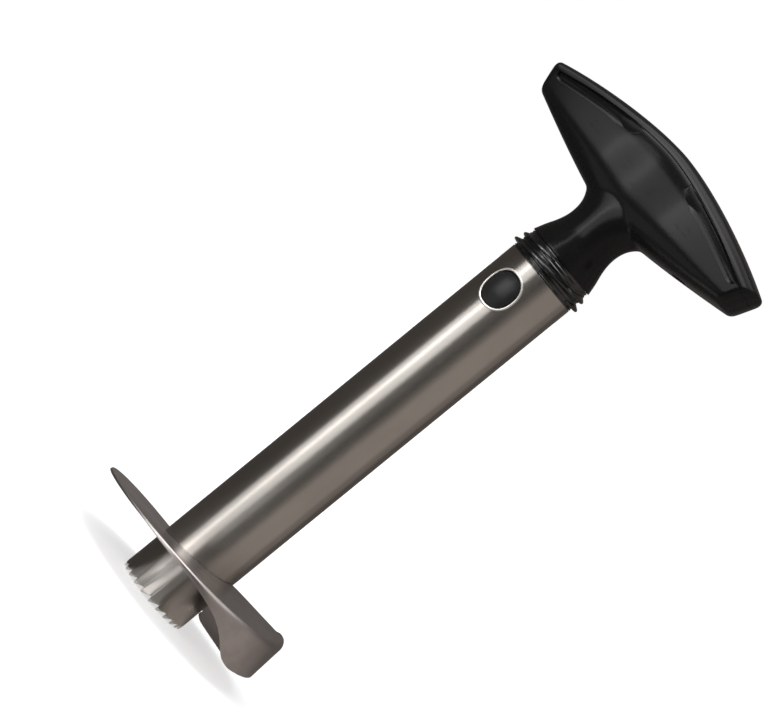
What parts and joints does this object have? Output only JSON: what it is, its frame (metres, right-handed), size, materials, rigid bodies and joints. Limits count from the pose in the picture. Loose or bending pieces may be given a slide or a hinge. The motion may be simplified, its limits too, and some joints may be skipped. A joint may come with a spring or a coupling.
{
  "type": "pineapple slicer",
  "caption": "Hand tool with a toothed steel coring tube, a helical slicing blade, and a black T-grip that plugs in and locks with sprung release buttons.",
  "frame": {"origin": "centre of the ring of tooth tips at the lower end of the coring tube", "axes": "+Z along the tube's axis towards the grip, X along the grip's span, -Y through the front release button"},
  "size_m": [0.1162, 0.0874, 0.2409],
  "materials": {
    "core_tube": "brushed stainless steel",
    "slicing_blade": "satin stainless steel",
    "fasteners": "bright stainless steel",
    "spring_wire": "drawn spring steel wire",
    "black_plastic": "satin black moulding",
    "button_plastic": "semi-gloss black moulding"
  },
  "bodies": {
    "slicer": {"core_tube": "core_tube", "slicing_blade": "slicing_blade", "spigot": "black_plastic", "spigot_end_cap": "black_plastic", "grip_body": "black_plastic", "grip_top_cover": "black_plastic", "button_spring_front": "spring_wire", "button_spring_rear": "spring_wire", "centre_washer": "fasteners", "centre_screw": "fasteners", "cap_screw_left": "fasteners", "cap_screw_right": "fasteners", "cover_screw_left": "fasteners", "cover_screw_right": "fasteners"},
    "front_button": {"release_button_front": "button_plastic"},
    "rear_button": {"release_button_rear": "button_plastic"}
  },
  "joints": [
    {"name": "front_button_press", "type": "slide", "parent": "slicer", "child": "front_button", "axis": [0, 1, 0], "range_m": [0, 0.0025], "stiffness_N_per_m": 1200, "springref_m": -0.003, "deforming": ["button_spring_front"]},
    {"name": "rear_button_press", "type": "slide", "parent": "slicer", "child": "rear_button", "axis": [0, -1, 0], "range_m": [0, 0.0025], "stiffness_N_per_m": 1200, "springref_m": -0.003, "deforming": ["button_spring_rear"]}
  ]
}
